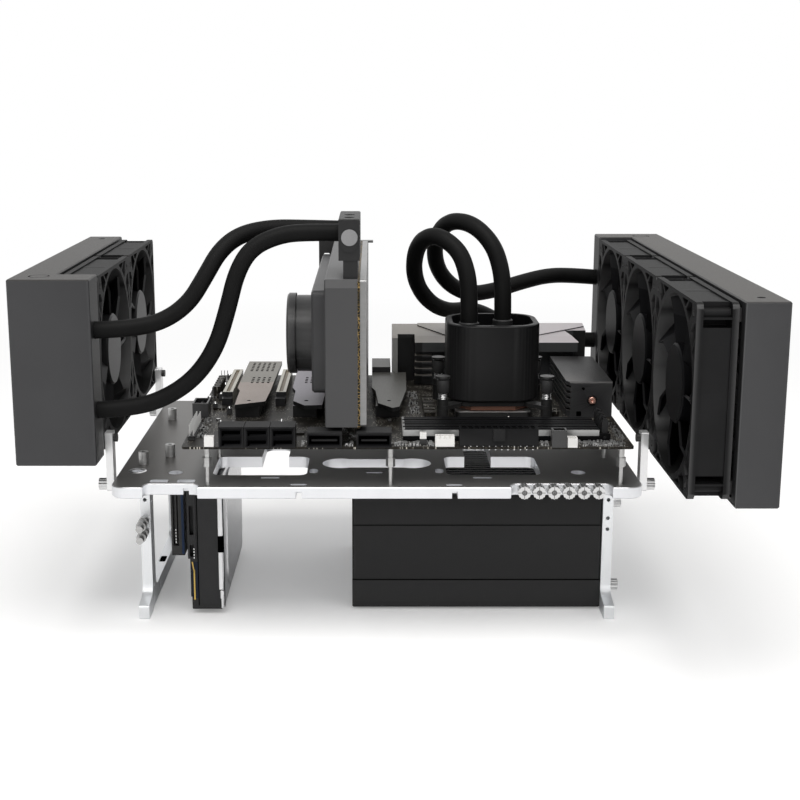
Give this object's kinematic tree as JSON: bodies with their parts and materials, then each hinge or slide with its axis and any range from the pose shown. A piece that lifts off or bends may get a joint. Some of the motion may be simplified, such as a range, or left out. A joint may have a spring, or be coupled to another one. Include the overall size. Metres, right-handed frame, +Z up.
{
  "type": "open air test bench",
  "caption": "Open metal test bench carrying a computer board, upright graphics card, liquid cooler, side radiators with fans, and a power supply and drives below.",
  "frame": {"origin": "on the floor, at the middle of the object's outline in plan", "axes": "+X to the right along the tray's front edge, +Y from the front edge to the rear, +Z up"},
  "size_m": [0.48, 0.3962, 0.2934],
  "materials": {
    "plate_metal": "bead blasted, dark anodised top",
    "leg_metal": "satin",
    "post_metal": "satin",
    "nut_metal": "knurled",
    "screw_black": "satin black",
    "standoff_metal": "turned",
    "stored_screw_metal": "turned",
    "spare_standoff_metal": "turned",
    "board_lacquer": "matte lacquer",
    "socket_black": "matte",
    "usb_socket": "matte",
    "power_socket": "matte",
    "header_plastic": "matte",
    "memory_socket": "satin",
    "latch_plastic": "satin",
    "card_socket": "satin",
    "cover_metal": "anodised",
    "heatsink_metal": "anodised",
    "shield_plastic": "matte",
    "socket_shell": "satin",
    "load_frame": "satin",
    "copper": "polished",
    "bracket_metal": "satin",
    "pump_shell": "satin",
    "pump_screw_metal": "knurled",
    "fitting_plastic": "matte",
    "card_lacquer": "matte lacquer",
    "card_shell": "matte",
    "card_cover": "matte",
    "card_pump_shell": "satin",
    "card_backplate_metal": "matte",
    "manifold_plastic": "matte",
    "card_bracket_metal": "satin",
    "radiator_paint": "satin",
    "core_metal": "matte",
    "fan_plastic": "matte",
    "rotor_plastic": "satin",
    "hose_rubber": "matte",
    "psu_paint": "matte",
    "psu_fan_plastic": "matte",
    "drive_casting": "cast",
    "drive_cover_metal": "satin",
    "ssd_shell": "satin"
  },
  "bodies": {
    "bench": {"tray_plate": "plate_metal", "leg_left": "leg_metal", "leg_right": "leg_metal", "radiator_posts_left": "post_metal", "radiator_posts_right": "post_metal", "thumb_nuts": "nut_metal", "corner_screws": "screw_black", "board_standoffs": "standoff_metal", "stored_thumbscrews": "stored_screw_metal", "spare_standoffs": "spare_standoff_metal", "motherboard": "board_lacquer", "sata_ports": "socket_black", "usb_headers": "usb_socket", "atx_power_socket": "power_socket", "board_headers": "header_plastic", "board_sockets": "socket_black", "memory_slots": "memory_socket", "card_slots": "card_socket", "drive_covers": "cover_metal", "regulator_heatsink": "heatsink_metal", "socket_cover": "shield_plastic", "rear_sockets": "socket_shell", "cpu_socket": "load_frame", "cold_plate": "copper", "pump_bracket": "bracket_metal", "pump_housing": "pump_shell", "pump_screws": "pump_screw_metal", "pump_fittings": "fitting_plastic", "card_board": "card_lacquer", "card_shroud": "card_shell", "card_side_cover": "card_cover", "card_pump": "card_pump_shell", "card_backplate": "card_backplate_metal", "card_manifold": "manifold_plastic", "card_bracket": "card_bracket_metal", "radiator_left": "radiator_paint", "radiator_right": "radiator_paint", "radiator_core_left": "core_metal", "radiator_core_right": "core_metal", "fan_frames_left": "fan_plastic", "fan_frames_right": "fan_plastic", "hose_card_upper": "hose_rubber", "hose_card_lower": "hose_rubber", "hose_pump_near": "hose_rubber", "hose_pump_rear": "hose_rubber", "psu_case": "psu_paint", "psu_cover": "psu_paint", "hard_drive": "drive_casting", "hard_drive_cover": "drive_cover_metal", "solid_state_drive": "ssd_shell"},
    "fan_rotor_left_1_body": {"fan_rotor_left_1": "rotor_plastic"},
    "fan_rotor_left_2_body": {"fan_rotor_left_2": "rotor_plastic"},
    "fan_rotor_right_1_body": {"fan_rotor_right_1": "rotor_plastic"},
    "fan_rotor_right_2_body": {"fan_rotor_right_2": "rotor_plastic"},
    "fan_rotor_right_3_body": {"fan_rotor_right_3": "rotor_plastic"},
    "psu_fan_body": {"psu_fan": "psu_fan_plastic"},
    "memory_latch_1_body": {"memory_latch_1": "latch_plastic"},
    "memory_latch_2_body": {"memory_latch_2": "latch_plastic"},
    "memory_latch_3_body": {"memory_latch_3": "latch_plastic"},
    "memory_latch_4_body": {"memory_latch_4": "latch_plastic"}
  },
  "joints": [
    {"name": "fan_rotor_left_1_spin", "type": "hinge", "parent": "bench", "child": "fan_rotor_left_1_body", "pos_m": [-0.19875, 0.10875, 0.1945], "axis": [1, 0, 0], "continuous": true},
    {"name": "fan_rotor_left_2_spin", "type": "hinge", "parent": "bench", "child": "fan_rotor_left_2_body", "pos_m": [-0.19875, -0.01125, 0.1945], "axis": [1, 0, 0], "continuous": true},
    {"name": "fan_rotor_right_1_spin", "type": "hinge", "parent": "bench", "child": "fan_rotor_right_1_body", "pos_m": [0.19875, 0.10875, 0.1945], "axis": [1, 0, 0], "continuous": true},
    {"name": "fan_rotor_right_2_spin", "type": "hinge", "parent": "bench", "child": "fan_rotor_right_2_body", "pos_m": [0.19875, -0.01125, 0.1945], "axis": [1, 0, 0], "continuous": true},
    {"name": "fan_rotor_right_3_spin", "type": "hinge", "parent": "bench", "child": "fan_rotor_right_3_body", "pos_m": [0.19875, -0.13125, 0.1945], "axis": [1, 0, 0], "continuous": true},
    {"name": "psu_fan_spin", "type": "hinge", "parent": "bench", "child": "psu_fan_body", "pos_m": [0.0735, 0.0555, 0.07], "axis": [0, 0, 1], "continuous": true},
    {"name": "memory_latch_1_tip", "type": "hinge", "parent": "bench", "child": "memory_latch_1_body", "pos_m": [0.1558, -0.0665, 0.1437], "axis": [0, 1, 0], "range_deg": [0, 32]},
    {"name": "memory_latch_2_tip", "type": "hinge", "parent": "bench", "child": "memory_latch_2_body", "pos_m": [0.1558, -0.056, 0.1437], "axis": [0, 1, 0], "range_deg": [0, 32]},
    {"name": "memory_latch_3_tip", "type": "hinge", "parent": "bench", "child": "memory_latch_3_body", "pos_m": [0.1558, -0.0455, 0.1437], "axis": [0, 1, 0], "range_deg": [0, 32]},
    {"name": "memory_latch_4_tip", "type": "hinge", "parent": "bench", "child": "memory_latch_4_body", "pos_m": [0.1558, -0.035, 0.1437], "axis": [0, 1, 0], "range_deg": [0, 32]}
  ]
}
